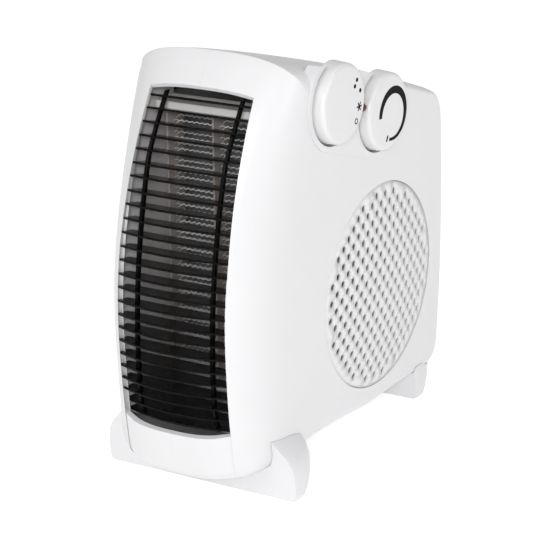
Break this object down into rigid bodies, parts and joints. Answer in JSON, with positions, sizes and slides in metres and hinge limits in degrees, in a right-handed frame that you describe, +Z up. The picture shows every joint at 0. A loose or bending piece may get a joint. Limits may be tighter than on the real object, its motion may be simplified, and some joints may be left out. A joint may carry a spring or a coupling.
{
  "type": "fan convector heater",
  "caption": "Upright fan heater with a curved white casing, black slatted outlet, round perforated side intake and two rotary knobs.",
  "frame": {"origin": "on the ground, under the middle of the heater's bounding box", "axes": "+Z up, the outlet faces -Y, the intake and the knobs face +X"},
  "size_m": [0.1187, 0.2116, 0.2278],
  "materials": {
    "white_body": "satin white",
    "knob_plastic": "satin white",
    "black_slats": "glossy black",
    "lens": "clear red",
    "lamp_glass": "clear",
    "duct_sheet": "mill",
    "mica": "layered mica",
    "ceramic": "unglazed ceramic",
    "heating_wire": "oxidised wire",
    "copper": "enamelled copper",
    "brass": "turned",
    "grey_plastic": "moulded",
    "gland_rubber": "moulded",
    "red_lead": "sleeve",
    "blue_lead": "sleeve",
    "steel": "zinc plated"
  },
  "bodies": {
    "housing": {"blower_back_plate": "duct_sheet", "bottom_insulator": "ceramic", "casing_screw_1": "steel", "casing_screw_2": "steel", "casing_screw_3": "steel", "casing_screw_4": "steel", "cord_gland": "gland_rubber", "duct_liner": "duct_sheet", "foot_screw_1": "steel", "foot_screw_2": "steel", "foot_screw_3": "steel", "foot_screw_4": "steel", "front_bearing_bracket": "duct_sheet", "front_bearing_bush": "brass", "front_foot": "white_body", "indicator_lens": "lens", "inlet_ring": "grey_plastic", "intake_grille": "white_body", "lead_to_cutout": "blue_lead", "lead_to_switch": "red_lead", "left_casing": "white_body", "left_heating_element": "heating_wire", "left_mica_board": "mica", "middle_mica_board": "mica", "motor_standoff_1": "steel", "motor_standoff_2": "steel", "motor_winding": "copper", "neon_lamp": "lamp_glass", "outlet_grille": "black_slats", "rear_bearing_bracket": "duct_sheet", "rear_bearing_bush": "brass", "rear_foot": "white_body", "right_casing": "white_body", "right_heating_element": "heating_wire", "right_mica_board": "mica", "rotary_switch": "grey_plastic", "scroll_wall": "grey_plastic", "stator_laminations": "steel", "terminal_block": "ceramic", "thermal_cutout": "ceramic", "thermal_fuse": "steel", "thermostat": "ceramic", "top_insulator": "ceramic"},
    "switch_dial": {"switch_knob": "knob_plastic", "switch_shaft": "steel"},
    "thermostat_dial": {"thermostat_knob": "knob_plastic", "thermostat_shaft": "steel"},
    "fan": {"impeller": "grey_plastic", "motor_shaft": "steel", "rotor": "steel"}
  },
  "joints": [
    {"name": "switch_knob_turn", "type": "hinge", "parent": "housing", "child": "switch_dial", "pos_m": [0.04994, -0.0175, 0.1983], "axis": [0.9978, -0.0663, 0], "range_deg": [-135, 0]},
    {"name": "thermostat_knob_turn", "type": "hinge", "parent": "housing", "child": "thermostat_dial", "pos_m": [0.05297, 0.0281, 0.1837], "axis": [0.9978, -0.0663, 0], "range_deg": [-270, 0]},
    {"name": "fan_spin", "type": "hinge", "parent": "housing", "child": "fan", "pos_m": [0, 0.0317, 0.0848], "axis": [1, 0, 0], "continuous": true}
  ]
}
